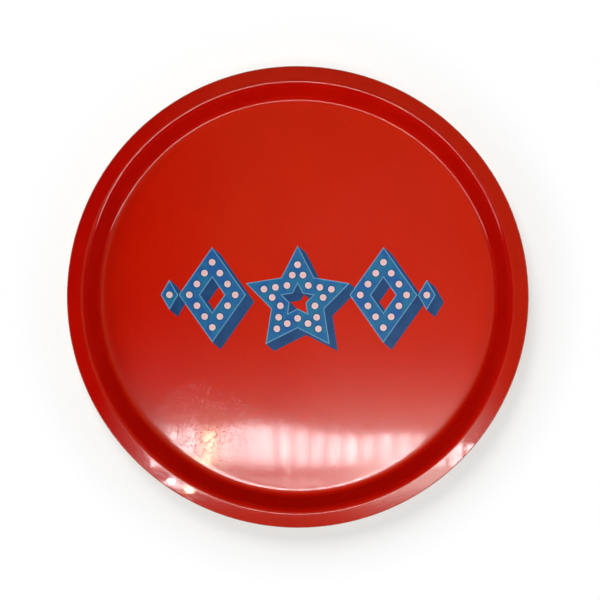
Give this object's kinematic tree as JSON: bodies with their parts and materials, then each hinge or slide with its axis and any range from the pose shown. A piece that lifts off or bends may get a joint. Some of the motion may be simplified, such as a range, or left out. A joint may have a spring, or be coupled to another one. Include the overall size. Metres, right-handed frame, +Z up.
{
  "type": "serving tray",
  "caption": "Round flat-bottomed serving tray with a low sloping wall and a flat flange, moulded from crossed wood veneers under a glossy printed laminate.",
  "frame": {"origin": "middle of the tray, on the surface that it stands on", "axes": "+Z up, +Y towards the top of the printed design, +X to the right of it"},
  "size_m": [0.39, 0.39, 0.022],
  "materials": {
    "decor_laminate": "glossy melamine laminate, red with a blue print",
    "birch_long_grain": "rotary-cut birch veneer, grain along X, sanded at the edge",
    "birch_cross_grain": "rotary-cut birch veneer, grain along Y, end grain darker at the edge",
    "clear_backing": "clear satin melamine sheet over birch"
  },
  "bodies": {
    "root": {"decor_sheet": "decor_laminate", "face_veneer": "birch_long_grain", "upper_cross_veneer": "birch_cross_grain", "core_veneer": "birch_long_grain", "lower_cross_veneer": "birch_cross_grain", "back_veneer": "birch_long_grain", "backing_sheet": "clear_backing"}
  },
  "joints": []
}
